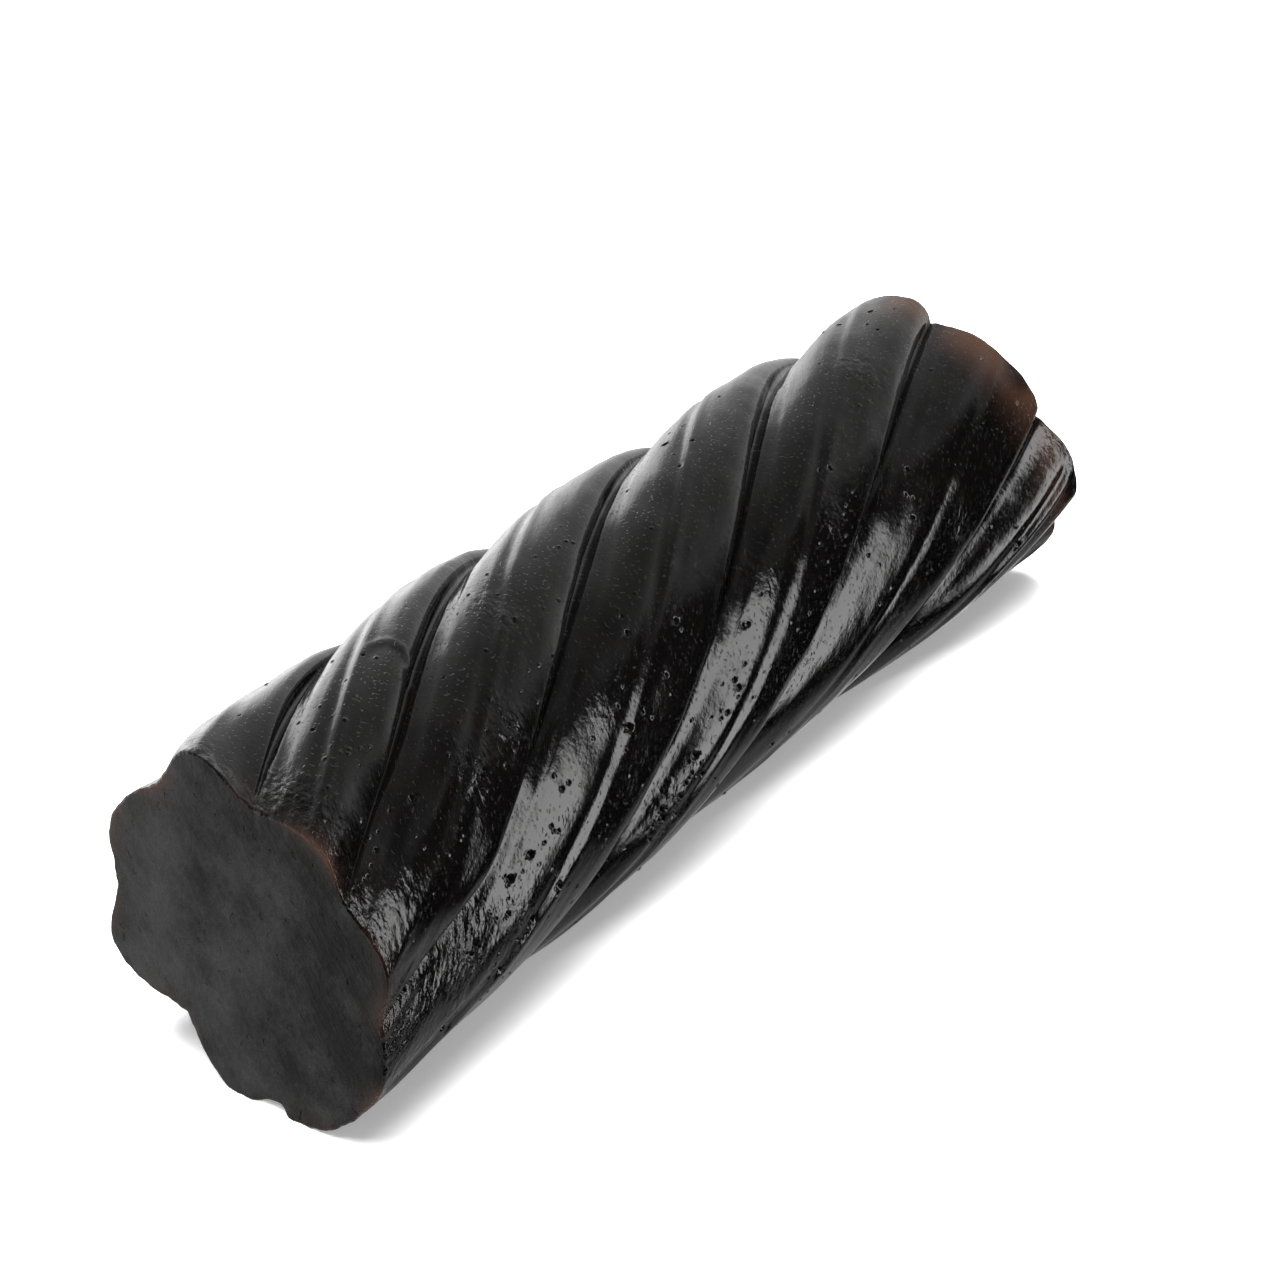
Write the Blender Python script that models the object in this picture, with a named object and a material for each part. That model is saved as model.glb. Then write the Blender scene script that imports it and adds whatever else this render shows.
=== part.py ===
"""Soft black licorice: one short ribbed and twisted piece, as one closed solid.

The piece lies along X on z = 0. The cut face that shows most looks towards -X.
Lengths are in metres, angles in degrees.
"""

import math
from collections import namedtuple

import bmesh
import bpy
from mathutils import Matrix, Vector

# Driving sizes
LENGTH = 0.050
CREST_RADIUS = 0.0075
TWIST = 229.0
BOW = 0.0008
DROOP = 0.00042
TAPER = 0.04
SAG = 0.010
FLAT_DEPTH = 0.00046

# Slant of the two cut faces, as rise over run towards +Z and towards -Y
NEAR_SLANT = (0.038, -0.073)
FAR_SLANT = (-0.150, -0.100)

# One row for each rib, which starts at its crease. Angles run from +Z towards -Y, with
# the twist taken out; crease_angles are those near the -X end, in the middle and at the
# far end. Radii are shares of CREST_RADIUS; crest is that of the body and far_crest the
# one it grows to at the far end. The knife squeezed the ribs at the -X cut, so they have
# an angle, radii and a crest place of their own there.
Rib = namedtuple(
    "Rib", "cut_angle cut_crease cut_crest cut_crest_at crease_angles crease crest far_crest")
RIBS = (
    Rib(14.5, 0.875, 1.006, 0.68, (12.6, 15.0, 16.0), 0.865, 0.990, 1.005),
    Rib(54.6, 0.926, 1.015, 0.50, (58.5, 55.5, 52.0), 0.860, 1.005, 1.000),
    Rib(94.1, 0.907, 0.984, 0.48, (107.0, 110.0, 110.0), 0.860, 0.995, 1.000),
    Rib(154.3, 1.018, 1.018, 0.57, (176.0, 168.5, 161.5), 0.865, 0.995, 1.030),
    Rib(223.2, 0.801, 1.103, 0.56, (226.0, 218.0, 227.0), 0.850, 1.015, 0.950),
    Rib(277.0, 0.926, 0.988, 0.34, (276.0, 286.0, 291.0), 0.840, 1.005, 1.050),
    Rib(328.5, 0.904, 1.048, 0.47, (328.0, 334.0, 334.0), 0.865, 0.995, 1.000),
)
CREST_AT = 0.47
CUT_REACH = 0.16
LIP = 0.34
SHOULDER = 0.075
SHOULDER_END = 0.40
FALL_POWER = 7.0
FALL_ROUND = 0.55
SWELL = 0.010

# Mesh density: stations across one rib, and slices along the piece
STATIONS = (0.0, 0.05, 0.11, 0.18, 0.26, 0.34, 0.42, 0.50, 0.60, 0.74, 0.87, 0.94, 0.98)
SLICES = 34

PIECE_NAME = "licorice"
COLLECTION_NAME = "Black licorice"
LICORICE_COLOUR = (0.012, 0.010, 0.009, 1.0)
LICORICE_ROUGHNESS = 0.24


def clear_scene():
    for item in list(bpy.data.objects):
        bpy.data.objects.remove(item, do_unlink=True)


def blend(start, end, share):
    return start + (end - start) * share


def smooth(share):
    share = min(1.0, max(0.0, share))
    return share * share * (3.0 - 2.0 * share)


def rib_height(u):
    """Height over one rib: 0 in its creases and 1 on its crest.

    A lip leads out of the crease and climbs to a broad shoulder, which still rises a
    little. The crest keeps its height almost to the next crease and drops into it.
    """
    if u < CREST_AT:
        v = u / CREST_AT
        return LIP * (1.0 - (1.0 - v) ** 3) + (1.0 - LIP - SHOULDER) * smooth(v)
    w = (u - CREST_AT) / (1.0 - CREST_AT)
    top = 1.0 - SHOULDER * (1.0 - smooth(w / SHOULDER_END))
    return top * max(0.0, 1.0 - w ** FALL_POWER) ** FALL_ROUND


def cut_height(u, crest_at):
    """Height over one rib at the -X cut, where the knife squeezed it to a soft lobe."""
    return smooth(u / crest_at if u < crest_at else (1.0 - u) / (1.0 - crest_at))


def beyond_cut(depth):
    """Grows from 0 at a cut to 1 where the cut no longer shapes the ribs."""
    return smooth(depth / CUT_REACH)


def crease_angle(index, t):
    """Angle of a crease at t along the piece, twist taken out, counted on past the last."""
    turn, place = divmod(index, len(RIBS))
    rib = RIBS[place]
    near, middle, far = rib.crease_angles
    curve = (2.0 * t - 1.0) * (t - 1.0) * near + 4.0 * t * (1.0 - t) * middle
    curve += t * (2.0 * t - 1.0) * far
    return 360.0 * turn + blend(rib.cut_angle, curve, beyond_cut(t))


def section_point(index, u, t):
    """Angle with the twist taken out, and radius, at share u across a rib."""
    rib = RIBS[index]
    after = RIBS[(index + 1) % len(RIBS)]
    body = beyond_cut(t)
    height = blend(cut_height(u, rib.cut_crest_at), rib_height(u), body)
    swell = 1.0 + SWELL * math.sin(5.0 * t + 1.7 * index)
    crest = blend(rib.cut_crest, blend(rib.crest, rib.far_crest, t * t) * swell, body)
    floor = blend(blend(rib.cut_crease, rib.crease, body),
                  blend(after.cut_crease, after.crease, body), u)
    radius = CREST_RADIUS * blend(floor, crest, height)
    angle = blend(crease_angle(index, t), crease_angle(index + 1, t), u)
    return angle, radius * (1.0 - TAPER * (t - 0.5))


def place_point(t, rib, u, share):
    """World point at t along the piece and at a share of the section's radius."""
    slant_z = blend(NEAR_SLANT[0], FAR_SLANT[0], t)
    slant_y = blend(NEAR_SLANT[1], FAR_SLANT[1], t)
    angle, radius = section_point(rib, u, t)
    along = t
    for _ in range(4):
        turned = math.radians(angle - TWIST * along)
        reach = share * radius * (1.0 - SAG * math.cos(2.0 * turned))
        up = reach * math.cos(turned)
        side = reach * math.sin(turned)
        x = (t - 0.5) * LENGTH + slant_z * up + slant_y * side
        along = x / LENGTH + 0.5
    bow = BOW * 4.0 * t * (1.0 - t)
    return Vector((x, bow - side, up - DROOP * t))


def unit_rod(sides, slices):
    """A plain rod along X of unit length and radius, with its ends poked to a centre."""
    mesh = bmesh.new()
    bmesh.ops.create_cone(
        mesh, cap_ends=True, segments=sides, radius1=1.0, radius2=1.0, depth=1.0,
        matrix=Matrix.Rotation(math.radians(90.0), 4, "Y"))
    long_edges = [edge for edge in mesh.edges
                  if abs(edge.verts[0].co.x - edge.verts[1].co.x) > 0.5]
    bmesh.ops.subdivide_edges(mesh, edges=long_edges, cuts=slices - 1, use_grid_fill=True)
    caps = [face for face in mesh.faces if len(face.verts) == sides]
    bmesh.ops.inset_individual(mesh, faces=caps, thickness=0.35)
    caps = [face for face in mesh.faces if len(face.verts) == sides]
    bmesh.ops.poke(mesh, faces=caps)
    return mesh


def shape_rod(mesh, sides):
    """Move each point of the plain rod to its place on the twisted piece."""
    stations = len(STATIONS)
    for vert in mesh.verts:
        turned = math.degrees(math.atan2(-vert.co.y, vert.co.z)) % 360.0
        step = round(turned / 360.0 * sides) % sides
        rib, station = divmod(step, stations)
        share = min(1.0, math.hypot(vert.co.y, vert.co.z))
        vert.co = place_point(vert.co.x + 0.5, rib, STATIONS[station], share)


def flatten_underside(mesh):
    """Cut the lowest crests off flat, as the soft piece settles on what it lies on."""
    low = min(vert.co.z for vert in mesh.verts)
    table = Vector((0.0, 0.0, low + FLAT_DEPTH))
    bmesh.ops.bisect_plane(
        mesh, geom=mesh.verts[:] + mesh.edges[:] + mesh.faces[:],
        dist=1e-6, plane_co=table, plane_no=(0.0, 0.0, 1.0), clear_inner=True)
    open_edges = [edge for edge in mesh.edges if edge.is_boundary]
    bmesh.ops.holes_fill(mesh, edges=open_edges, sides=0)
    bmesh.ops.translate(mesh, verts=mesh.verts[:], vec=-table)


def centre_over_origin(mesh):
    """Put the origin under the middle of the piece's box, in X and in Y."""
    for axis in range(2):
        values = [vert.co[axis] for vert in mesh.verts]
        shift = Vector((0.0, 0.0, 0.0))
        shift[axis] = -(min(values) + max(values)) / 2.0
        bmesh.ops.translate(mesh, verts=mesh.verts[:], vec=shift)


def licorice_material():
    material = bpy.data.materials.new("Black licorice")
    material.use_nodes = True
    surface = material.node_tree.nodes["Principled BSDF"]
    surface.inputs["Base Color"].default_value = LICORICE_COLOUR
    surface.inputs["Roughness"].default_value = LICORICE_ROUGHNESS
    surface.inputs["Metallic"].default_value = 0.0
    material.diffuse_color = LICORICE_COLOUR
    return material


def build_licorice():
    sides = len(RIBS) * len(STATIONS)
    mesh = unit_rod(sides, SLICES)
    shape_rod(mesh, sides)
    flatten_underside(mesh)
    centre_over_origin(mesh)
    bmesh.ops.triangulate(mesh, faces=mesh.faces[:])
    bmesh.ops.recalc_face_normals(mesh, faces=mesh.faces[:])
    data = bpy.data.meshes.new(PIECE_NAME)
    mesh.to_mesh(data)
    mesh.free()
    data.materials.append(licorice_material())
    data.shade_smooth()
    data.set_sharp_from_angle(angle=math.radians(40.0))
    return bpy.data.objects.new(PIECE_NAME, data)


def main():
    clear_scene()
    collection = bpy.data.collections.new(COLLECTION_NAME)
    bpy.context.scene.collection.children.link(collection)
    collection.objects.link(build_licorice())


main()
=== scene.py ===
"""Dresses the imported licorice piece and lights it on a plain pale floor.

The fine mesh repeats the solid's shape from the same named sizes. It adds what is too
small for the solid: the cut of the creases, the fold along each crest, ripples along the
ribs, rough patches, bubble pits and blisters, one curved flake, one notch in the near
rim, the rounded rims and the drag marks of the knife.
Lengths are in metres and angles in degrees. Shader coordinates are in millimetres.
"""

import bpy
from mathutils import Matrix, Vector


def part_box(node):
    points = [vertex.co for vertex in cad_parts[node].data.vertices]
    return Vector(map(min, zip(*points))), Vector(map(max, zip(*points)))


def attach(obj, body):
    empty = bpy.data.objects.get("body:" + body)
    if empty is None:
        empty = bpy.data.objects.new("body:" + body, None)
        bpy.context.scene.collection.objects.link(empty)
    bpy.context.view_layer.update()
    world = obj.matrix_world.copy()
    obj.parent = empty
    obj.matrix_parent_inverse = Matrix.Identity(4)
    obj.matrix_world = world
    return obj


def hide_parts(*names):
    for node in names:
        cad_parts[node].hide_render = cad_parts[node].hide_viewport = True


bl_info = {
    "name": "Black licorice piece",
    "version": (1, 0, 0),
    "blender": (4, 5, 0),
    "location": "3D View > Sidebar > Licorice",
    "description": "Builds one twisted piece of soft black licorice and its studio",
    "category": "Object",
}

import math
import random
from collections import namedtuple

import bmesh
import bpy
import numpy as np
from bpy.props import FloatProperty, FloatVectorProperty, IntProperty, PointerProperty
from mathutils import Quaternion, Vector, kdtree, noise

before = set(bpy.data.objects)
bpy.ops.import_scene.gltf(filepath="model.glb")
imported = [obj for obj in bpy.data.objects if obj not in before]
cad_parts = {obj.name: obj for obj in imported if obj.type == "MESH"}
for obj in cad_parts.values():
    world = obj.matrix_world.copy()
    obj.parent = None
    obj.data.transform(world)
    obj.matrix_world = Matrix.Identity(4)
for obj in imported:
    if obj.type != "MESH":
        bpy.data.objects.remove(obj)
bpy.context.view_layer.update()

MM = 0.001

# Slant of the two cut faces, as rise over run towards +Z and towards -Y
NEAR_SLANT = (0.038, -0.073)
FAR_SLANT = (-0.150, -0.100)

# One row for each rib, which starts at its crease. Angles run from +Z towards -Y, with
# the twist taken out; crease_angles are those near the -X end, in the middle and at the
# far end. Radii are shares of the crest radius; crest is that of the body and far_crest
# the one it grows to at the far end. The knife squeezed the ribs at the -X cut, so they
# have an angle, radii and a crest place of their own there.
Rib = namedtuple(
    "Rib", "cut_angle cut_crease cut_crest cut_crest_at crease_angles crease crest far_crest")
RIBS = (
    Rib(14.5, 0.875, 1.006, 0.68, (12.6, 15.0, 16.0), 0.865, 0.990, 1.005),
    Rib(54.6, 0.926, 1.015, 0.50, (58.5, 55.5, 52.0), 0.860, 1.005, 1.000),
    Rib(94.1, 0.907, 0.984, 0.48, (107.0, 110.0, 110.0), 0.860, 0.995, 1.000),
    Rib(154.3, 1.018, 1.018, 0.57, (176.0, 168.5, 161.5), 0.865, 0.995, 1.030),
    Rib(223.2, 0.801, 1.103, 0.56, (226.0, 218.0, 227.0), 0.850, 1.015, 0.950),
    Rib(277.0, 0.926, 0.988, 0.34, (276.0, 286.0, 291.0), 0.840, 1.005, 1.050),
    Rib(328.5, 0.904, 1.048, 0.47, (328.0, 334.0, 334.0), 0.865, 0.995, 1.000),
)
RIB_COLUMNS = Rib(*[np.array(column) for column in zip(*RIBS)])

# Profile of one rib: a lip out of the crease, a shoulder up to the crest, and the drop
# into the next crease. CUT_REACH is the share of the length that the -X cut shapes.
CREST_AT = 0.47
CUT_REACH = 0.16
LIP = 0.34
SHOULDER = 0.075
SHOULDER_END = 0.40
FALL_POWER = 7.0
FALL_ROUND = 0.55
SWELL = 0.010

# Mesh density: stations across one rib, drawn to its creases by STATION_PULL, slices
# along the piece, rings on a cut face and steps over a rim in shares of its rounding
STATIONS = 52
STATION_PULL = 0.55
SLICES = 236
RINGS = 24
RIM_STEPS = (0.0, 0.35, 0.8, 1.4, 2.2)

# A slanting cut moves a point along the piece, which turns it: rounds to settle that
SLANT_ROUNDS = 4

# Fine lines along each rib: distance from the crease before it, half width and height
Line = namedtuple("Line", "place half_width height")
GROOVE_HALF_WIDTHS = (0.08 * MM, 0.07 * MM)
LIP_LINE = Line(0.42 * MM, 0.20 * MM, 0.000040)
THIN_LINE = Line(1.05 * MM, 0.16 * MM, 0.000018)
FOLD_AT = 0.51
FOLD_OFFSET = 0.26 * MM
FOLD_HALF_WIDTH = 0.30 * MM

# How far the froth reaches in from the near and the far cut, and its strength there
FROTH_AT_CUTS = ((0.6 * MM, 0.9), (0.45 * MM, 0.45))

# How much longer a twisted rib is than the piece
RIB_STRETCH = 1.16

# Marks of the knife: slant of its strokes, then height and lump size of each kind
KNIFE_SLANT = 35.0
CUT_WAVE = (0.00022, (6.0 * MM,) * 3)
CUT_STREAK = (0.000030, (1.0, 0.8 * MM, 6.0 * MM))
CUT_GRAIN = (0.000016, (0.7 * MM,) * 3)

# Rough, frothy patches: rib, share across it, share along the piece, radius, strength
Patch = namedtuple("Patch", "rib across along radius strength")
ROUGH_PATCHES = (
    Patch(2, 0.20, 0.100, 1.7 * MM, 1.0),
    Patch(2, 0.42, 0.160, 1.2 * MM, 0.8),
    Patch(2, 0.08, 0.028, 1.5 * MM, 0.9),
    Patch(3, 0.42, 0.365, 1.3 * MM, 0.9),
    Patch(3, 0.68, 0.663, 0.9 * MM, 0.6),
    Patch(0, 0.26, 0.024, 1.3 * MM, 1.0),
    Patch(0, 0.68, 0.014, 1.2 * MM, 1.0),
    Patch(1, 0.47, 0.307, 1.2 * MM, 0.7),
    Patch(1, 0.50, 0.166, 1.0 * MM, 0.9),
    Patch(1, 0.70, 0.220, 1.2 * MM, 0.7),
)
MORE_PATCHES = 16

# Bubble pits in loose rows on the floors of the ribs: rib, across, spread, from, to, count
PitRow = namedtuple("PitRow", "rib across spread start end count")
PIT_ROWS = (
    PitRow(2, 0.20, 0.07, 0.10, 0.19, 16),
    PitRow(2, 0.26, 0.06, 0.19, 0.27, 6),
    PitRow(2, 0.45, 0.06, 0.12, 0.24, 9),
    PitRow(3, 0.36, 0.10, 0.34, 0.41, 18),
    PitRow(3, 0.28, 0.08, 0.42, 0.52, 9),
    PitRow(1, 0.10, 0.06, 0.01, 0.09, 7),
    PitRow(4, 0.26, 0.10, 0.66, 0.82, 7),
)

# Tiny blisters that catch the light, in the same columns
BLISTER_ROWS = (
    PitRow(1, 0.45, 0.30, 0.05, 0.35, 26),
    PitRow(2, 0.62, 0.20, 0.10, 0.45, 22),
    PitRow(1, 0.80, 0.15, 0.25, 0.45, 12),
    PitRow(3, 0.75, 0.20, 0.45, 0.75, 16),
    PitRow(0, 0.60, 0.30, 0.02, 0.12, 18),
    PitRow(3, 0.70, 0.20, 0.02, 0.12, 14),
)

# Both kinds of mark: their rows, how many more are spread over the whole piece, least
# and greatest radius in millimetres, and depth in radii, which a blister has below zero
Marks = namedtuple("Marks", "rows more radii depth")
MARKS = (
    Marks(PIT_ROWS, 120, (0.07, 0.20), 0.75),
    Marks(BLISTER_ROWS, 110, (0.07, 0.12), -0.45),
)

# A curved flake on the upper ribs
Arc = namedtuple("Arc", "rib across along radius half_turn height")
CRESCENT = Arc(0, 0.82, 0.190, 1.30 * MM, 105.0, 0.060 * MM)

# A shallow notch in the lower rim of the near cut
Notch = namedtuple("Notch", "rib across half_width reach depth")
NOTCH = Notch(3, 0.35, 0.75 * MM, 0.45 * MM, 0.45 * MM)

# Heights of the finest relief, which the materials add
LINES_BUMP = 0.000009
GRAIN_BUMP = 0.000003
FOAM_BUMP = 0.000110
DIMPLE_BUMP = -0.000022
CUT_GRAIN_BUMP = 0.000075
CUT_CRUMB_BUMP = 0.000060
CUT_HOLE_BUMP = -0.000080

# Gains that make the browner parts of the outside, and the light and dark ends of the cut,
# whose mix holds both the cut's own tone and its painted shade, and how strongly the cut
# reflects
BROWN_GAINS = (1.5, 1.25, 1.1)
CUT_LIGHT = 2.4
CUT_DARK = 0.1
CUT_SHEEN = 0.27

# Sizes of the studio, and how softly each thing that the gloss reflects ends, in degrees
FLOOR_RADIUS = 3.0
DOME_RADIUS = 1.0
OVERHEAD_SIZE = 0.5
OVERHEAD_PLACE = (-0.06, -0.06, 0.6)
BACKDROP_LEAN = 0.42
BACKDROP_SOFT = (9.0, 4.0)
BACKDROP_END = (-176.0, -164.0)
WINDOW_SOFT = (4.0, 6.0)
GLOW_SOFT = (8.0, 8.0)
BELOW_HEIGHTS = (-48.0, -34.0)


class LicoriceShape(bpy.types.PropertyGroup):
    """Sizes of the twisted piece."""

    length: FloatProperty(
        name="Length", description="Length between the two cuts", default=0.050,
        min=0.01, unit="LENGTH", precision=4)
    crest_radius: FloatProperty(
        name="Crest radius", description="Radius over the crests of the ribs",
        default=0.0075, min=0.001, unit="LENGTH", precision=5)
    twist: FloatProperty(
        name="Twist", description="Turn of the ribs over the length, in degrees",
        default=229.0)
    bow: FloatProperty(
        name="Bow", description="Sideways bow of the middle", default=0.0008,
        unit="LENGTH", precision=5)
    droop: FloatProperty(
        name="Droop", description="How far the far end sinks", default=0.00042,
        unit="LENGTH", precision=5)
    taper: FloatProperty(
        name="Taper", description="Share by which the far end is slimmer", default=0.04)
    sag: FloatProperty(
        name="Sag", description="Share by which the piece is flattened", default=0.010)
    groove: FloatProperty(
        name="Crease depth", description="Depth of the narrow cut in each crease",
        default=0.00020, unit="LENGTH", precision=5)
    fold: FloatProperty(
        name="Fold", description="Height of the fine fold along the crest of each rib",
        default=0.000075, unit="LENGTH", precision=6)
    ripple: FloatProperty(
        name="Ripple", description="Height of the ripples along the ribs",
        default=0.000030, unit="LENGTH", precision=6)
    lumps: FloatProperty(
        name="Lumps", description="Height of the soft unevenness", default=0.000045,
        unit="LENGTH", precision=6)
    froth: FloatProperty(
        name="Froth", description="Height of the rough patches", default=0.000050,
        unit="LENGTH", precision=6)
    rim_round: FloatProperty(
        name="Rim rounding", description="Radius of the edge round each cut",
        default=0.00010, unit="LENGTH", precision=5)
    seed: IntProperty(
        name="Seed", description="Choice of where the small marks fall", default=11)


class LicoriceFinish(bpy.types.PropertyGroup):
    """Colours and gloss of the piece."""

    outside: FloatVectorProperty(
        name="Outside", description="Colour of the shiny outside", subtype="COLOR",
        default=(0.0013, 0.0012, 0.0012), min=0.0, max=1.0)
    cut: FloatVectorProperty(
        name="Cut", description="Colour of the dull cut faces", subtype="COLOR",
        default=(0.0092, 0.0093, 0.0092), min=0.0, max=1.0)
    thin: FloatVectorProperty(
        name="Thin edge", description="Colour where light comes through thin edges",
        subtype="COLOR", default=(0.034, 0.017, 0.011), min=0.0, max=1.0)
    gloss: FloatProperty(
        name="Outside roughness", description="Roughness of the shiny outside",
        default=0.09, min=0.0, max=1.0)
    dull: FloatProperty(
        name="Cut roughness", description="Roughness of the cut faces",
        default=0.52, min=0.0, max=1.0)


class LicoriceStudio(bpy.types.PropertyGroup):
    """Floor, light and camera."""

    floor: FloatVectorProperty(
        name="Floor", description="Colour of the floor", subtype="COLOR",
        default=(0.90, 0.90, 0.90), min=0.0, max=1.0)
    floor_lit: FloatProperty(
        name="Floor lit", description="Brightness that the floor has of its own",
        default=0.30, min=0.0)
    azimuth: FloatProperty(
        name="Azimuth", description="Camera's turn round the piece, in degrees",
        default=-51.2)
    elevation: FloatProperty(
        name="Elevation", description="Camera's height over the horizon, in degrees",
        default=28.7)
    roll: FloatProperty(
        name="Roll", description="Camera's turn about its own line of sight, in degrees",
        default=-5.9)
    distance: FloatProperty(
        name="Distance", description="Camera's distance from the piece",
        default=0.125, unit="LENGTH")
    lens: FloatProperty(
        name="Lens", description="Focal length in millimetres", default=82.0)
    sky: FloatProperty(
        name="Sky", description="Brightness of the even light from all round",
        default=0.35, min=0.0)
    overhead: FloatProperty(
        name="Overhead light", description="Power of the soft light above",
        default=14.0, unit="POWER")
    backdrop: FloatProperty(
        name="Backdrop", description="Brightness of the reflected backdrop",
        default=0.82, min=0.0)
    backdrop_edge: FloatProperty(
        name="Backdrop edge", description="Turn at which the backdrop ends, in degrees",
        default=19.0)
    backdrop_heights: FloatVectorProperty(
        name="Backdrop heights", size=2, default=(-38.0, 76.0),
        description="Heights at which the reflected backdrop ends, in degrees")
    window: FloatProperty(
        name="Window", description="Brightness of the reflected window", default=6.0,
        min=0.0)
    window_turns: FloatVectorProperty(
        name="Window turns", size=2, default=(55.0, 71.0),
        description="Turns between which the window stands, in degrees")
    window_heights: FloatVectorProperty(
        name="Window heights", size=2, default=(-24.0, 60.0),
        description="Heights between which the window stands, in degrees")
    glow: FloatProperty(
        name="Glow", description="Brightness of the reflected floor far behind",
        default=1.2, min=0.0)
    glow_turns: FloatVectorProperty(
        name="Glow turns", size=2, default=(-80.0, -46.0),
        description="Turns between which the glow lies, in degrees")
    glow_heights: FloatVectorProperty(
        name="Glow heights", size=2, default=(-18.0, 18.0),
        description="Heights between which the glow lies, in degrees")
    below: FloatProperty(
        name="Below", description="Brightness of the reflected floor close by",
        default=0.34, min=0.0)
    shade: FloatProperty(
        name="Shade", description="Brightness of the dark parts of the studio",
        default=0.008, min=0.0)


def blend(start, end, share):
    return start + (end - start) * share


def smooth(share):
    share = np.clip(share, 0.0, 1.0)
    return share * share * (3.0 - 2.0 * share)


def ridge(distance, half_width):
    """1 on a line and soft down to 0 on both sides of it."""
    return np.exp(-(distance / half_width) ** 2)


def rib_height(u):
    """Height over one rib: 0 in its creases and 1 on its crest."""
    v = np.clip(u / CREST_AT, 0.0, 1.0)
    rise = LIP * (1.0 - (1.0 - v) ** 3) + (1.0 - LIP - SHOULDER) * smooth(v)
    w = np.clip((u - CREST_AT) / (1.0 - CREST_AT), 0.0, 1.0)
    top = 1.0 - SHOULDER * (1.0 - smooth(w / SHOULDER_END))
    fall = np.maximum(0.0, 1.0 - w ** FALL_POWER) ** FALL_ROUND
    return np.where(u < CREST_AT, rise, top * fall)


def cut_height(u, crest_at):
    """Height over one rib at the -X cut, where the knife squeezed it to a soft lobe."""
    return smooth(np.where(u < crest_at, u / crest_at, (1.0 - u) / (1.0 - crest_at)))


def crease_angle(rib, t):
    """Angle of a crease at t along the piece, twist taken out, counted on past the last."""
    turn, place = np.divmod(rib, len(RIBS))
    near, middle, far = np.moveaxis(RIB_COLUMNS.crease_angles[place], -1, 0)
    curve = (2.0 * t - 1.0) * (t - 1.0) * near + 4.0 * t * (1.0 - t) * middle
    curve = curve + t * (2.0 * t - 1.0) * far
    return 360.0 * turn + blend(RIB_COLUMNS.cut_angle[place], curve, smooth(t / CUT_REACH))


def section(shape, rib, u, t):
    """Angle with the twist taken out, and radius, at share u across a rib."""
    here, after = rib, (rib + 1) % len(RIBS)
    ribs = RIB_COLUMNS
    body = smooth(t / CUT_REACH)
    height = blend(cut_height(u, ribs.cut_crest_at[here]), rib_height(u), body)
    swell = 1.0 + SWELL * np.sin(5.0 * t + 1.7 * rib)
    crest = blend(ribs.crest[here], ribs.far_crest[here], t * t) * swell
    crest = blend(ribs.cut_crest[here], crest, body)
    floor = blend(blend(ribs.cut_crease[here], ribs.crease[here], body),
                  blend(ribs.cut_crease[after], ribs.crease[after], body), u)
    radius = shape.crest_radius * blend(floor, crest, height)
    angle = blend(crease_angle(rib, t), crease_angle(rib + 1, t), u)
    return angle, radius * (1.0 - shape.taper * (t - 0.5))


def place_points(shape, rib, u, t, share, inset):
    """World points at t along the piece and at a share of the section's radius."""
    slant_z = blend(NEAR_SLANT[0], FAR_SLANT[0], t)
    slant_y = blend(NEAR_SLANT[1], FAR_SLANT[1], t)
    angle, radius = section(shape, rib, u, t)
    along = t
    for _ in range(SLANT_ROUNDS):
        turned = np.radians(angle - shape.twist * along)
        reach = share * (radius - inset) * (1.0 - shape.sag * np.cos(2.0 * turned))
        up = reach * np.cos(turned)
        side = reach * np.sin(turned)
        x = (t - 0.5) * shape.length + slant_z * up + slant_y * side
        along = x / shape.length + 0.5
    bow = shape.bow * 4.0 * t * (1.0 - t)
    return np.stack([x, bow - side, up - shape.droop * t], axis=-1)


Skin = namedtuple("Skin", "rib u t share points normals strand width body")


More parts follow.
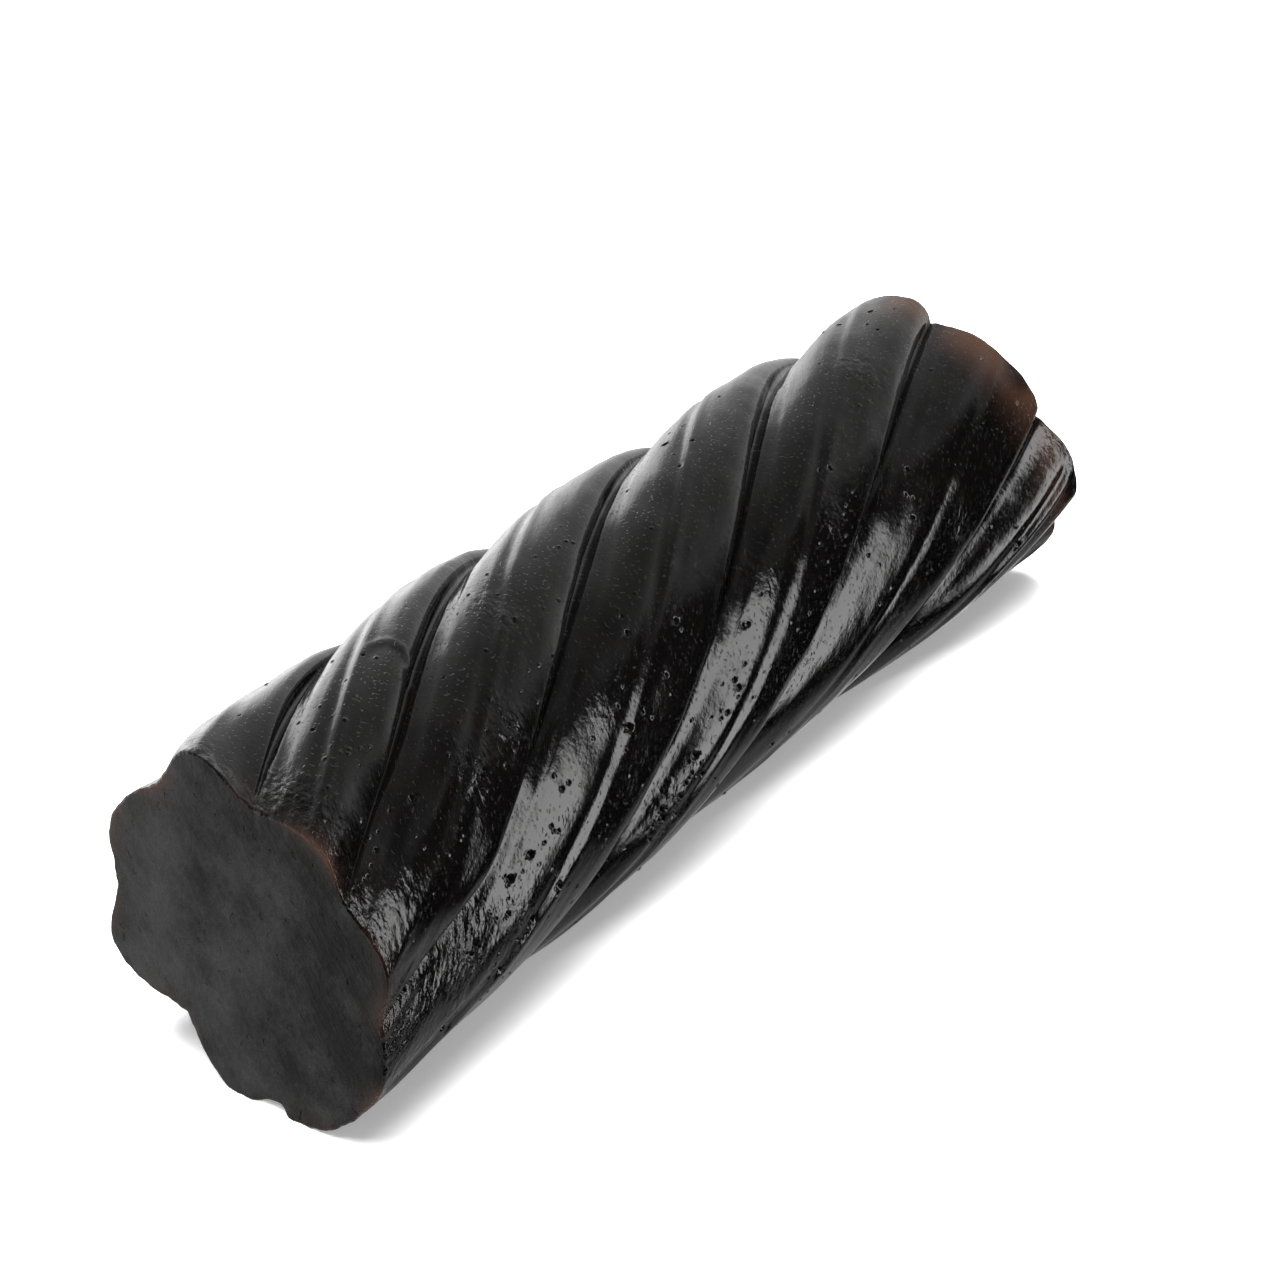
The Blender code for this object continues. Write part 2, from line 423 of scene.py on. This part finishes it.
def skin_grid(shape):
    """The whole surface as one grid, from the middle of one cut face to the other's."""
    steps = np.arange(STATIONS) / STATIONS
    across = steps - STATION_PULL * np.sin(2.0 * np.pi * steps) / (2.0 * np.pi)
    rim = np.array(RIM_STEPS) * shape.rim_round
    depth = 1.0 - np.clip(rim / shape.rim_round, 0.0, 1.0)
    rim_inset = shape.rim_round * (1.0 - np.sqrt(1.0 - depth * depth))
    rim_t = rim / shape.length
    inner = np.linspace(rim_t[-1], 1.0 - rim_t[-1], SLICES)[1:-1]
    rings = np.linspace(0.02, 1.0, RINGS + 1)[:-1]
    caps = np.zeros(RINGS)
    t = np.concatenate([caps, rim_t, inner, 1.0 - rim_t[::-1], caps + 1.0])[:, None]
    flat = np.full(RINGS, shape.rim_round)
    inset = np.concatenate([flat, rim_inset, inner * 0.0, rim_inset[::-1], flat])[:, None]
    whole = np.ones(len(inner) + 2 * len(rim))
    share = np.concatenate([rings, whole, rings[::-1]])[:, None]
    rib = np.repeat(np.arange(len(RIBS)), STATIONS)[None, :]
    u = np.tile(across, len(RIBS))[None, :]
    rib, u, t, share, inset = np.broadcast_arrays(rib, u, t, share, inset)
    points = place_points(shape, rib, u, t, share, inset)
    body = slice(RINGS, RINGS + len(whole))
    round_the_piece = np.roll(points[body], -1, axis=1) - np.roll(points[body], 1, axis=1)
    normals = np.cross(round_the_piece, np.gradient(points[body], axis=0))
    normals /= np.linalg.norm(normals, axis=-1, keepdims=True)
    if np.mean(normals[..., 2] * points[body][..., 2]) < 0.0:
        normals = -normals
    angle = np.radians(section(shape, rib, u, t)[0])
    radius = shape.crest_radius * share
    strand = np.stack([radius * np.cos(angle), radius * np.sin(angle),
                       points[..., 0]], axis=-1)
    width = np.radians(crease_angle(rib + 1, t) - crease_angle(rib, t)) * shape.crest_radius
    return Skin(rib, u, t, share, points, normals, strand, width, body)


def soft_noise(points, size, offset=0.0):
    """Smooth noise from -1 to 1 at each point, in lumps of about the given size."""
    scaled = (points / np.array(size) + offset).reshape(-1, 3)
    values = [noise.noise(point) for point in scaled.tolist()]
    return np.array(values).reshape(points.shape[:-1])


def rough_patches(seed):
    """The patches that show, and more like them spread over the whole piece."""
    draw = random.Random(seed)
    patches = list(ROUGH_PATCHES)
    for _ in range(MORE_PATCHES):
        patches.append(Patch(draw.randrange(len(RIBS)), draw.uniform(0.15, 0.75),
                             draw.uniform(0.02, 0.98), draw.uniform(0.7, 1.4) * MM,
                             draw.uniform(0.3, 0.8)))
    return patches


def froth_mask(shape, skin):
    """How rough the surface is, from 0 to 1: in the patches and close to the cuts."""
    mask = np.zeros(skin.t.shape)
    for patch in rough_patches(shape.seed):
        near = skin.rib == patch.rib
        across = (skin.u - patch.across) * skin.width
        along = (skin.t - patch.along) * shape.length * RIB_STRETCH
        mask += near * patch.strength * np.exp(
            -(across ** 2 + along ** 2) / patch.radius ** 2)
    for depth, (reach, strength) in zip((skin.t, 1.0 - skin.t), FROTH_AT_CUTS):
        mask += strength * np.exp(-depth * shape.length / reach)
    return np.clip(mask, 0.0, 1.0)


def thin_mask(shape, skin, points):
    """Where light comes through, from 0 to 1: the far lobes and the rims of the cuts."""
    patches = smooth(0.5 + 1.6 * soft_noise(points, (3.0 * MM,) * 3, 6.1))
    to_far = (1.0 - skin.t) * shape.length
    lobe = ridge(to_far, 1.8 * MM) * smooth(skin.u / 0.3)
    to_rim = (1.0 - skin.share) * shape.crest_radius
    rim = np.exp(-to_rim / (0.35 * MM)) * np.exp(-skin.t * shape.length / (0.25 * MM))
    return np.clip(np.maximum(lobe, 0.9 * rim) * patches, 0.0, 1.0)


def crescent_relief(shape, skin):
    """The curved flake that a fold left: a low ridge along an arc, with a step inside."""
    body = skin.body
    width = skin.width[body]
    across = (skin.rib[body] + skin.u[body] - CRESCENT.rib - CRESCENT.across) * width
    along = (skin.t[body] - CRESCENT.along) * shape.length
    reach = np.hypot(across, along)
    turn = np.arctan2(across, along)
    part = smooth((math.radians(CRESCENT.half_turn) - np.abs(turn)) / 0.5)
    inward = CRESCENT.radius - reach
    step = smooth(inward / (0.5 * MM)) * ridge(inward, 0.9 * MM)
    return CRESCENT.height * part * (ridge(inward, 0.10 * MM) - 0.8 * step)


def surface_relief(shape, skin, froth):
    """How far the body's surface stands out from the plain ribbed shape."""
    body = skin.body
    strand = skin.strand[body]
    u, width = skin.u[body], skin.width[body]
    after, before = u * width, (1.0 - u) * width
    to_cut = np.minimum(skin.t, 1.0 - skin.t)[body] * shape.length
    groove = ridge(after, GROOVE_HALF_WIDTHS[0]) + ridge(before, GROOVE_HALF_WIDTHS[1])
    groove *= smooth(to_cut / (1.6 * MM))
    lip = LIP_LINE.height * ridge(after - LIP_LINE.place, LIP_LINE.half_width)
    line = THIN_LINE.height * ridge(after - THIN_LINE.place, THIN_LINE.half_width)
    wander = soft_noise(strand, (3.0 * MM, 3.0 * MM, 9.0 * MM), 7.3)
    fold = (u - FOLD_AT) * width
    step = ridge(fold - FOLD_OFFSET, FOLD_HALF_WIDTH)
    step -= ridge(fold + FOLD_OFFSET, FOLD_HALF_WIDTH)
    relief = -shape.groove * groove * (1.0 + 0.5 * wander)
    relief += shape.fold * step * (1.0 + 0.9 * wander) * smooth(to_cut / (1.0 * MM))
    relief += lip * (1.0 + wander) - line * (1.0 - wander)
    relief += shape.ripple * soft_noise(strand, (0.75 * MM, 0.75 * MM, 7.0 * MM))
    relief += 0.5 * shape.ripple * soft_noise(strand, (0.35 * MM, 0.35 * MM, 2.2 * MM), 3.1)
    relief += shape.lumps * soft_noise(strand, (2.6 * MM,) * 3, 5.7)
    relief += 0.3 * shape.lumps * soft_noise(strand, (1.0 * MM,) * 3, 9.1)
    relief += shape.froth * froth[body] * soft_noise(strand, (0.42 * MM,) * 3, 1.9)
    return relief + crescent_relief(shape, skin)


def cut_relief(shape, skin):
    """How far each point of the grid is moved along X by the marks of the knife."""
    flat = skin.points * np.array([0.0, 1.0, 1.0])
    turn = math.radians(KNIFE_SLANT)
    across = flat[..., 1] * math.cos(turn) + flat[..., 2] * math.sin(turn)
    down = flat[..., 2] * math.cos(turn) - flat[..., 1] * math.sin(turn)
    streaked = np.stack([flat[..., 0], across, down], axis=-1)
    relief = CUT_WAVE[0] * soft_noise(flat, CUT_WAVE[1], 2.2)
    relief += CUT_STREAK[0] * soft_noise(streaked, CUT_STREAK[1], 4.4)
    relief += CUT_GRAIN[0] * soft_noise(flat, CUT_GRAIN[1], 8.8)
    relief *= 1.0 - skin.share ** 10
    across = (skin.u - NOTCH.across) * skin.width / NOTCH.half_width
    inward = (1.0 - skin.share) * shape.crest_radius / NOTCH.reach
    notch = (skin.rib == NOTCH.rib) * np.exp(-across ** 4 - inward ** 2)
    return relief + NOTCH.depth * notch * ridge(skin.t * shape.length, 0.4 * MM)


def licorice_grid(shape):
    """Grid, froth and thin masks and moved points, set down on the floor."""
    skin = skin_grid(shape)
    froth = froth_mask(shape, skin)
    points = skin.points.copy()
    relief = surface_relief(shape, skin, froth)
    points[skin.body] += relief[..., None] * skin.normals
    for cap, rim in ((slice(0, RINGS), 0), (slice(-RINGS, None), -1)):
        lift = relief[rim][None, :, None] * skin.normals[rim][None]
        points[cap] += lift * skin.share[cap][..., None] ** 16
    points[..., 0] += cut_relief(shape, skin)
    low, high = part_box("licorice")
    flat = skin.points.reshape(-1, 3)
    shift = np.zeros(3)
    for axis in range(2):
        middle = (flat[:, axis].min() + flat[:, axis].max()) / 2.0
        shift[axis] = (low[axis] + high[axis]) / 2.0 - middle
    shift[2] = high.z - flat[:, 2].max()
    points = points + shift
    return skin, froth, thin_mask(shape, skin, points), points


def grid_mesh(skin, froth, thin, points):
    """The grid as a mesh with its masks and strand coordinates on the vertices."""
    mesh = bmesh.new()
    froth_layer = mesh.verts.layers.float.new("froth")
    thin_layer = mesh.verts.layers.float.new("thin")
    strand_layer = mesh.verts.layers.float_vector.new("strand")
    rows, columns = points.shape[:2]
    grid = []
    for row in range(rows):
        ring = []
        for column in range(columns):
            vert = mesh.verts.new(points[row, column])
            vert[froth_layer] = froth[row, column]
            vert[thin_layer] = thin[row, column]
            vert[strand_layer] = Vector(skin.strand[row, column] / MM)
            ring.append(vert)
        grid.append(ring)
    for row in range(rows - 1):
        cut = row < skin.body.start or row >= skin.body.stop - 1
        near, far = grid[row], grid[row + 1]
        for column in range(columns):
            after = (column + 1) % columns
            face = mesh.faces.new((near[column], near[after], far[after], far[column]))
            face.material_index = 1 if cut else 0
            face.smooth = True
    for ring in (grid[0], grid[-1]):
        face = mesh.faces.new(ring)
        face.material_index = 1
        face.smooth = True
        bmesh.ops.poke(mesh, faces=[face])
    bmesh.ops.recalc_face_normals(mesh, faces=mesh.faces[:])
    return mesh


Pit = namedtuple("Pit", "centre normal radius depth")


def scattered_places(draw, rows, more):
    """Rib, share across, share along and size from 0 to 1 of each mark."""
    places = []
    for row in rows:
        for _ in range(row.count):
            places.append((row.rib, row.across + draw.gauss(0.0, row.spread * 0.6),
                           draw.uniform(row.start, row.end), draw.random() ** 2))
    for _ in range(more):
        places.append((draw.randrange(len(RIBS)), draw.uniform(0.12, 0.80),
                       draw.uniform(0.02, 0.98), draw.random() ** 2))
    return places


def pit_list(shape, skin, points):
    """Bubble pits, and blisters as pits of a negative depth: those that show and more."""
    draw = random.Random(shape.seed + 1)
    body = skin.body
    t_row = skin.t[body][:, 0]
    pits = []
    for kind in MARKS:
        for rib, across, along, size in scattered_places(draw, kind.rows, kind.more):
            row = int(np.argmin(np.abs(t_row - along)))
            column = rib * STATIONS + int(np.argmin(np.abs(skin.u[0, :STATIONS] - across)))
            radius = blend(kind.radii[0], kind.radii[1], size) * MM
            pits.append(Pit(Vector(points[body][row, column]),
                            Vector(skin.normals[row, column]), radius,
                            radius * kind.depth))
    return pits


def near_tree(items, where):
    tree = kdtree.KDTree(len(items))
    for index, item in enumerate(items):
        tree.insert(where(item), index)
    tree.balance()
    return tree


def pit_profile(x):
    """Height at x radii from a pit's middle, in depths: a bowl with a low lip round it."""
    bowl = max(0.0, 1.0 - x ** 3) ** 1.4
    lip = 0.10 * math.exp(-((x - 1.12) / 0.16) ** 2)
    return lip - bowl


def sink_pits(mesh, pits):
    """Refine the mesh round each pit and press the pit into it."""
    mesh.faces.ensure_lookup_table()
    faces = list(mesh.faces)
    tree = near_tree(faces, lambda face: face.calc_center_median())
    chosen = set()
    for pit in pits:
        for _, index, _ in tree.find_range(pit.centre, pit.radius * 1.2 + 0.08 * MM):
            chosen.add(index)
    edges = {edge for index in chosen for edge in faces[index].edges}
    bmesh.ops.subdivide_edges(mesh, edges=list(edges), cuts=3, use_grid_fill=True)
    verts = list(mesh.verts)
    tree = near_tree(verts, lambda vert: vert.co)
    for pit in pits:
        for _, index, distance in tree.find_range(pit.centre, pit.radius * 1.5):
            height = pit_profile(distance / pit.radius)
            verts[index].co += pit.normal * pit.depth * height


def settle(mesh):
    """Press what reaches under the floor flat onto it."""
    for vert in mesh.verts:
        vert.co.z = max(vert.co.z, 0.0)


class Wire:
    """One output socket. Sums on number sockets add the Math nodes they need."""

    def __init__(self, paint, socket):
        self.paint = paint
        self.socket = socket

    def __add__(self, other):
        return self.paint.math("ADD", self, other)

    def __sub__(self, other):
        return self.paint.math("SUBTRACT", self, other)

    def __rsub__(self, other):
        return self.paint.math("SUBTRACT", other, self)

    def __mul__(self, other):
        return self.paint.math("MULTIPLY", self, other)

    def __truediv__(self, other):
        return self.paint.math("DIVIDE", self, other)

    def __pow__(self, other):
        return self.paint.math("POWER", self, other)

    __radd__ = __add__
    __rmul__ = __mul__


class Paint:
    """Builds the node tree of one material or of the world."""

    def __init__(self, owner):
        owner.use_nodes = True
        self.tree = owner.node_tree
        self.tree.nodes.clear()

    def node(self, kind, settings=None, values=None, output=0):
        made = self.tree.nodes.new(kind)
        for name, value in (settings or {}).items():
            setattr(made, name, value)
        for name, value in (values or {}).items():
            if isinstance(value, Wire):
                self.tree.links.new(value.socket, made.inputs[name])
            else:
                made.inputs[name].default_value = value
        return Wire(self, made.outputs[output]) if made.outputs else None

    def math(self, operation, first, second, clamp=False):
        return self.node("ShaderNodeMath", {"operation": operation, "use_clamp": clamp},
                         {0: first, 1: second})

    def clamped(self, value):
        return self.math("ADD", value, 0.0, clamp=True)

    def step(self, value, start, end):
        """0 where value is under start, 1 over end, smooth between."""
        return self.node("ShaderNodeMapRange", {"interpolation_type": "SMOOTHSTEP"},
                         {"Value": value, "From Min": start, "From Max": end})

    def between(self, value, ends, soft):
        """1 between the two ends and 0 outside, smooth over a soft edge on each."""
        start, end = ends
        rise = self.step(value, start - soft, start + soft)
        return rise * (1.0 - self.step(value, end - soft, end + soft))

    def mix(self, mask, first, second):
        return self.node("ShaderNodeMix", {"data_type": "RGBA"},
                         {0: mask, 6: first, 7: second}, output=2)

    def noise(self, vector, scale, detail=2.0, roughness=0.5):
        return self.node("ShaderNodeTexNoise", None,
                         {"Vector": vector, "Scale": scale, "Detail": detail,
                          "Roughness": roughness})

    def stretched(self, vector, stretch):
        return self.node("ShaderNodeVectorMath", {"operation": "MULTIPLY"},
                         {0: vector, 1: stretch})

    def bump(self, height, distance, normal=None):
        values = {"Height": height, "Distance": distance, "Strength": 1.0}
        if normal is not None:
            values["Normal"] = normal
        return self.node("ShaderNodeBump", None, values)

    def attribute(self, name, output):
        return self.node("ShaderNodeAttribute", {"attribute_name": name}, output=output)


def opaque(colour):
    return (*colour, 1.0)


def shiny_outside(finish):
    """Near-black soft gloss with fine lines along the ribs and small rough patches."""
    material = bpy.data.materials.new("Shiny licorice outside")
    paint = Paint(material)
    strand = paint.attribute("strand", 1)
    froth = paint.attribute("froth", 2)
    thin = paint.attribute("thin", 2)
    lines = paint.noise(paint.stretched(strand, (4.2, 4.2, 0.8)), 1.0, 3.0, 0.65)
    grain = paint.noise(strand, 7.0, 2.0, 0.6)
    cells = paint.node("ShaderNodeTexVoronoi", None, {"Vector": strand, "Scale": 2.6})
    foam = paint.noise(strand, 2.8, 3.0, 0.62)
    patchy = paint.step(paint.noise(strand, 1.3, 1.0), 0.38, 0.62) * froth
    bubbles = (0.7 - cells) * 0.8 * patchy + foam * (0.10 + 0.7 * froth)
    clouds = paint.noise(strand, 0.55, 2.0)
    specks = paint.noise(strand, 6.0, 0.0)
    dimples = paint.step(specks, 0.70, 0.76)
    bump = paint.bump(lines, LINES_BUMP)
    bump = paint.bump(grain, GRAIN_BUMP, bump)
    bump = paint.bump(bubbles, FOAM_BUMP, bump)
    bump = paint.bump(dimples, DIMPLE_BUMP, bump)
    brown = opaque([value * gain for value, gain in zip(finish.outside, BROWN_GAINS)])
    tint = paint.mix(paint.clamped(clouds * 1.6 - 0.55), opaque(finish.outside), brown)
    tint = paint.mix(thin, tint, opaque(finish.thin))
    rough = finish.gloss + 0.05 * paint.step(clouds, 0.50, 0.75)
    surface = paint.node("ShaderNodeBsdfPrincipled", None, {
        "Base Color": tint, "Roughness": rough, "Normal": bump, "IOR": 1.45})
    paint.node("ShaderNodeOutputMaterial", None, {"Surface": surface})
    return material


def dull_cut(finish):
    """Dull dark grey with the fine slanting grain that the knife left, and painted shade that
    makes it lighter towards +Y and darker towards -Y.
    """
    material = bpy.data.materials.new("Dull licorice cut")
    paint = Paint(material)
    place = paint.node("ShaderNodeTexCoord", output=3)
    millimetres = paint.stretched(place, (1000.0, 1000.0, 1000.0))
    slanting = paint.node("ShaderNodeVectorRotate", {"rotation_type": "X_AXIS"},
                          {"Vector": millimetres, "Angle": math.radians(KNIFE_SLANT)})
    grain = paint.noise(paint.stretched(slanting, (0.8, 1.5, 0.5)), 1.0, 4.0, 0.6)
    crumb = paint.noise(millimetres, 3.2, 4.0, 0.65)
    clouds = paint.noise(millimetres, 0.35, 2.0)
    holes = paint.step(paint.noise(millimetres, 2.2, 0.0), 0.76, 0.82)
    bump = paint.bump(grain, CUT_GRAIN_BUMP)
    bump = paint.bump(crumb, CUT_CRUMB_BUMP, bump)
    bump = paint.bump(holes, CUT_HOLE_BUMP, bump)
    light = opaque([value * CUT_LIGHT for value in finish.cut])
    dark = opaque([value * CUT_DARK for value in finish.cut])
    # across is the cut's Y in millimetres. In shade below, grain, crumb and clouds are the
    # cut's own tone, and 0.060 * across is painted shade: lighter towards +Y, darker towards
    # -Y.
    across = paint.node("ShaderNodeSeparateXYZ", None, {0: millimetres}, output=1)
    shade = grain * 0.8 + crumb * 0.9 + clouds * 1.8 + 0.060 * across - 1.35
    tint = paint.mix(paint.clamped(shade), dark, light)
    tint = paint.mix(paint.attribute("thin", 2), tint, opaque(finish.thin))
    surface = paint.node("ShaderNodeBsdfPrincipled", None, {
        "Base Color": tint, "Roughness": finish.dull + 0.10 * crumb, "Normal": bump,
        "IOR": 1.5, "Specular IOR Level": CUT_SHEEN})
    paint.node("ShaderNodeOutputMaterial", None, {"Surface": surface})
    return material


class LICORICE_OT_piece(bpy.types.Operator):
    """Build the twisted licorice piece"""

    bl_idname = "licorice.piece"
    bl_label = "Twisted piece"

    def execute(self, context):
        shape = context.scene.licorice_shape
        finish = context.scene.licorice_finish
        skin, froth, thin, points = licorice_grid(shape)
        mesh = grid_mesh(skin, froth, thin, points)
        sink_pits(mesh, pit_list(shape, skin, points))
        settle(mesh)
        bmesh.ops.triangulate(mesh, faces=[face for face in mesh.faces
                                           if len(face.verts) > 4])
        data = bpy.data.meshes.new("licorice_piece")
        mesh.to_mesh(data)
        mesh.free()
        data.materials.append(shiny_outside(finish))
        data.materials.append(dull_cut(finish))
        piece = bpy.data.objects.new("licorice_piece", data)
        context.scene.collection.objects.link(piece)
        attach(piece, "root")
        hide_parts("licorice")
        return {"FINISHED"}


def add_light(context, name, size, power, place, target):
    """A soft square light at a place, facing a target, seen in no reflection."""
    data = bpy.data.lights.new(name, "AREA")
    data.shape = "SQUARE"
    data.size = size
    data.energy = power
    light = bpy.data.objects.new(name, data)
    light.location = place
    light.rotation_euler = (target - place).to_track_quat("-Z", "Y").to_euler()
    light.visible_camera = False
    light.visible_glossy = False
    context.scene.collection.objects.link(light)


def add_stage_mesh(context, mesh, name, material):
    data = bpy.data.meshes.new(name)
    mesh.to_mesh(data)
    mesh.free()
    data.materials.append(material)
    item = bpy.data.objects.new(name, data)
    context.scene.collection.objects.link(item)
    return item


def floor_material(studio):
    """Plain pale floor that glows a little, which keeps the shadow on it soft."""
    material = bpy.data.materials.new("Pale floor")
    paint = Paint(material)
    surface = paint.node("ShaderNodeBsdfPrincipled", None, {
        "Base Color": opaque(studio.floor), "Roughness": 0.95, "Specular IOR Level": 0.0,
        "Emission Color": opaque((1.0, 1.0, 1.0)), "Emission Strength": studio.floor_lit})
    paint.node("ShaderNodeOutputMaterial", None, {"Surface": surface})
    return material


def surroundings_material(studio):
    """What the gloss reflects: backdrop, window, the floor far off and close by, or dark.

    The turn runs from +X towards -Y and the height from the horizon, in degrees.
    """
    material = bpy.data.materials.new("Studio surroundings")
    paint = Paint(material)
    place = paint.node("ShaderNodeTexCoord", output=3)
    x, y, z = [paint.node("ShaderNodeSeparateXYZ", None, {0: place}, output=axis)
               for axis in range(3)]
    turn = paint.math("ARCTAN2", y * -1.0, x) * math.degrees(1.0)
    height = paint.math("ARCTAN2", z, (x * x + y * y) ** 0.5) * math.degrees(1.0)
    edge, (low_end, high_end) = studio.backdrop_edge, studio.backdrop_heights
    soft_edge, soft_end = BACKDROP_SOFT
    backdrop = 1.0 - paint.step(turn - BACKDROP_LEAN * height, edge - soft_edge,
                                edge + soft_edge)
    backdrop = backdrop * paint.step(turn, *BACKDROP_END)
    backdrop = backdrop * paint.step(height, low_end - soft_end, low_end + soft_end)
    fade = paint.clamped(1.0 - height / high_end)
    window = paint.between(turn, studio.window_turns, WINDOW_SOFT[0])
    window = window * paint.between(height, studio.window_heights, WINDOW_SOFT[1])
    glow = paint.between(turn, studio.glow_turns, GLOW_SOFT[0])
    glow = glow * paint.between(height, studio.glow_heights, GLOW_SOFT[1])
    below = 1.0 - paint.step(height, *BELOW_HEIGHTS)
    light = studio.backdrop * backdrop * fade + studio.shade
    light = light + studio.window * window + studio.glow * glow
    light = light + studio.below * below
    surface = paint.node("ShaderNodeBsdfPrincipled", None, {
        "Base Color": opaque((0.0, 0.0, 0.0)), "Roughness": 1.0,
        "Specular IOR Level": 0.0, "Emission Color": light, "Emission Strength": 1.0})
    paint.node("ShaderNodeOutputMaterial", None, {"Surface": surface})
    return material


def add_surroundings(context, studio, centre):
    """A wide dome round the piece that shows in its gloss and nowhere else."""
    dome = bmesh.new()
    bmesh.ops.create_uvsphere(dome, u_segments=64, v_segments=32, radius=DOME_RADIUS)
    bmesh.ops.reverse_faces(dome, faces=dome.faces[:])
    item = add_stage_mesh(context, dome, "surroundings", surroundings_material(studio))
    item.location = centre
    item.visible_camera = False
    item.visible_diffuse = False
    item.visible_transmission = False
    item.visible_volume_scatter = False
    item.visible_shadow = False


class LICORICE_OT_stage(bpy.types.Operator):
    """Build the floor, the soft light and the camera"""

    bl_idname = "licorice.stage"
    bl_label = "Studio"

    def execute(self, context):
        studio = context.scene.licorice_studio
        scene = context.scene
        scene.view_settings.view_transform = "Standard"
        low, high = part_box("licorice")
        centre = (low + high) / 2.0

        mesh = bmesh.new()
        bmesh.ops.create_circle(mesh, cap_ends=True, segments=96, radius=FLOOR_RADIUS)
        floor = add_stage_mesh(context, mesh, "floor", floor_material(studio))
        floor.visible_glossy = False
        add_surroundings(context, studio, centre)

        world = bpy.data.worlds.new("Pale studio")
        scene.world = world
        paint = Paint(world)
        paint.node("ShaderNodeOutputWorld", None, {"Surface": paint.node(
            "ShaderNodeBackground", None, {"Color": opaque((studio.sky,) * 3)})})
        add_light(context, "overhead", OVERHEAD_SIZE, studio.overhead,
                  centre + Vector(OVERHEAD_PLACE), centre)

        azimuth = math.radians(studio.azimuth)
        elevation = math.radians(studio.elevation)
        back = Vector((math.sin(azimuth) * math.cos(elevation),
                       -math.cos(azimuth) * math.cos(elevation), math.sin(elevation)))
        data = bpy.data.cameras.new("camera")
        data.lens = studio.lens
        data.clip_start = 0.01
        data.clip_end = 10.0
        camera = bpy.data.objects.new("camera", data)
        camera.location = centre + back * studio.distance
        level = (-back).to_track_quat("-Z", "Y")
        camera.rotation_euler = (level @ Quaternion((0.0, 0.0, 1.0), math.radians(
            studio.roll))).to_euler()
        scene.collection.objects.link(camera)
        scene.camera = camera
        return {"FINISHED"}


class LICORICE_PT_panel(bpy.types.Panel):
    """Lists the sizes, finishes and steps"""

    bl_label = "Black licorice"
    bl_idname = "LICORICE_PT_panel"
    bl_space_type = "VIEW_3D"
    bl_region_type = "UI"
    bl_category = "Licorice"

    def draw(self, context):
        layout = self.layout
        for group in (context.scene.licorice_shape, context.scene.licorice_finish,
                      context.scene.licorice_studio):
            box = layout.box()
            for name in group.__annotations__:
                box.prop(group, name)
        for step in STEPS:
            layout.operator(step.bl_idname)


STEPS = (LICORICE_OT_piece, LICORICE_OT_stage)
CLASSES = (LicoriceShape, LicoriceFinish, LicoriceStudio, *STEPS, LICORICE_PT_panel)


def register():
    for item in CLASSES:
        bpy.utils.register_class(item)
    bpy.types.Scene.licorice_shape = PointerProperty(type=LicoriceShape)
    bpy.types.Scene.licorice_finish = PointerProperty(type=LicoriceFinish)
    bpy.types.Scene.licorice_studio = PointerProperty(type=LicoriceStudio)


def unregister():
    del bpy.types.Scene.licorice_shape
    del bpy.types.Scene.licorice_finish
    del bpy.types.Scene.licorice_studio
    for item in reversed(CLASSES):
        bpy.utils.unregister_class(item)


def main():
    register()
    bpy.ops.licorice.piece()
    bpy.ops.licorice.stage()


if __name__ == "__main__":
    main()
